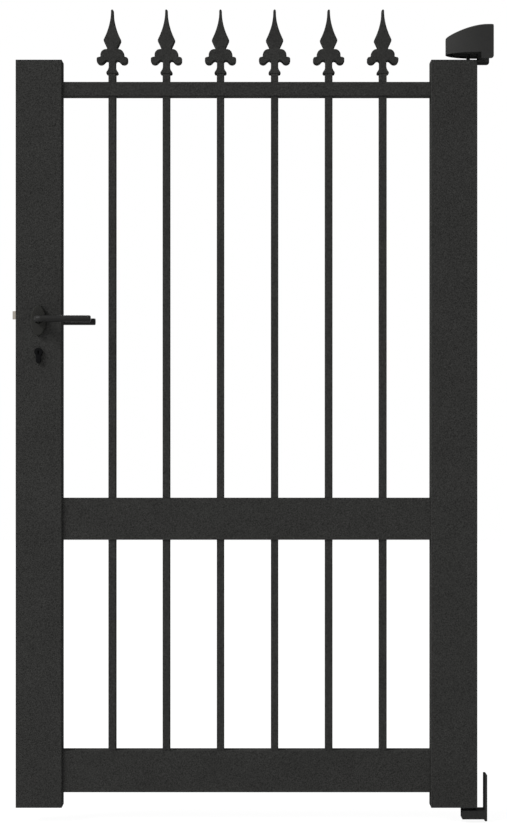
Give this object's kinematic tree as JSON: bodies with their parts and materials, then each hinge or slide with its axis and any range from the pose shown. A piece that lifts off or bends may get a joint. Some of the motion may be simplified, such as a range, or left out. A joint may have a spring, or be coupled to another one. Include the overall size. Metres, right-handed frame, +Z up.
{
  "type": "garden gate",
  "caption": "Hinged metal garden gate with vertical bars and spearheads, a lever lock with latch and key bolt, and pillar hinges above and below.",
  "frame": {"origin": "centre of the lower hinge plate's back face, where it meets the pillar", "axes": "+X towards the hinge pillar, -Y towards the street (the front), +Z up"},
  "size_m": [1.0432, 0.126, 1.7615],
  "materials": {
    "powder_coat": "fine-textured matt anthracite powder coat",
    "bracket_coat": "fine-textured matt anthracite powder coat on steel",
    "cap_plastic": "matt anthracite",
    "cover_plastic": "matt anthracite, fine grain",
    "lever_black": "satin black coating",
    "rose_black": "matt black",
    "cylinder_black": "satin black",
    "plug_black": "satin black plated brass",
    "lock_steel": "zinc-plated",
    "bolt_steel": "satin nickel-plated",
    "faceplate_steel": "brushed stainless steel",
    "pin_steel": "turned stainless steel",
    "pin_black": "black oxide on turned steel",
    "zinc_screw": "bright zinc-plated",
    "painted_screw": "satin anthracite head",
    "spring_steel": "bright spring wire",
    "cast_block": "as cast",
    "bush_nylon": "natural nylon"
  },
  "bodies": {
    "pillar_brackets": {"lower_bracket": "bracket_coat", "lower_pin": "pin_black", "upper_bracket": "bracket_coat", "hinge_arm": "bracket_coat", "upper_pin": "pin_black", "clamp_bolt": "pin_black", "clamp_nut": "bracket_coat", "hinge_cover": "cover_plastic"},
    "leaf": {"latch_stile": "powder_coat", "hinge_stile": "powder_coat", "top_rail": "powder_coat", "mid_rail": "powder_coat", "bottom_rail": "powder_coat", "bar_1": "powder_coat", "bar_2": "powder_coat", "bar_3": "powder_coat", "bar_4": "powder_coat", "bar_5": "powder_coat", "bar_6": "powder_coat", "spear_1": "powder_coat", "spear_2": "powder_coat", "spear_3": "powder_coat", "spear_4": "powder_coat", "spear_5": "powder_coat", "spear_6": "powder_coat", "latch_stile_top_cap": "cap_plastic", "hinge_stile_top_cap": "cap_plastic", "latch_stile_foot_cap": "cap_plastic", "hinge_stile_foot_cap": "cap_plastic", "top_rail_connectors": "cast_block", "wide_rail_connectors": "cast_block", "connector_screws": "zinc_screw", "rail_screws": "painted_screw", "bar_screws": "painted_screw", "upper_pivot_block": "cast_block", "lower_pivot_block": "cast_block", "pivot_block_screws": "zinc_screw", "upper_bush": "bush_nylon", "lower_bush": "bush_nylon", "lock_case": "lock_steel", "lock_case_lid": "lock_steel", "faceplate": "faceplate_steel", "faceplate_backings": "lock_steel", "faceplate_screws": "faceplate_steel", "latch_spring": "spring_steel", "follower_spring": "spring_steel", "front_rose": "rose_black", "rear_rose": "rose_black", "rose_screws": "zinc_screw", "cylinder_body": "cylinder_black"},
    "handle": {"spindle": "pin_steel", "front_lever": "lever_black", "rear_lever": "lever_black", "lever_grub_screws": "lever_black", "follower": "lock_steel"},
    "latch": {"latch_bolt": "bolt_steel"},
    "bolt": {"dead_bolt": "bolt_steel"},
    "key_barrel": {"front_plug": "plug_black", "rear_plug": "plug_black", "cylinder_cam": "lock_steel"}
  },
  "joints": [
    {"name": "leaf_swing", "type": "hinge", "parent": "pillar_brackets", "child": "leaf", "pos_m": [-0.0394, 0, 0], "axis": [0, 0, -1], "range_deg": [0, 90]},
    {"name": "lever_turn", "type": "hinge", "parent": "leaf", "child": "handle", "pos_m": [-0.9718, 0, 1.037], "axis": [0, 1, 0], "range_deg": [0, 45], "stiffness_Nm_per_rad": 1.5, "springref_deg": -28.65},
    {"name": "latch_slide", "type": "slide", "parent": "leaf", "child": "latch", "axis": [1, 0, 0], "range_m": [0, 0.01], "deforming": ["latch_spring"]},
    {"name": "key_turn", "type": "hinge", "parent": "leaf", "child": "key_barrel", "pos_m": [-0.9718, 0, 0.967], "axis": [0, -1, 0], "range_deg": [0, 360]},
    {"name": "bolt_slide", "type": "slide", "parent": "leaf", "child": "bolt", "axis": [-1, 0, 0], "range_m": [0, 0.014]}
  ],
  "couplings": [
    {"joint": "latch_slide", "follows": "lever_turn", "m_per_rad": 0.012731},
    {"joint": "key_turn", "follows": "bolt_slide", "rad_per_m": 448.79}
  ]
}
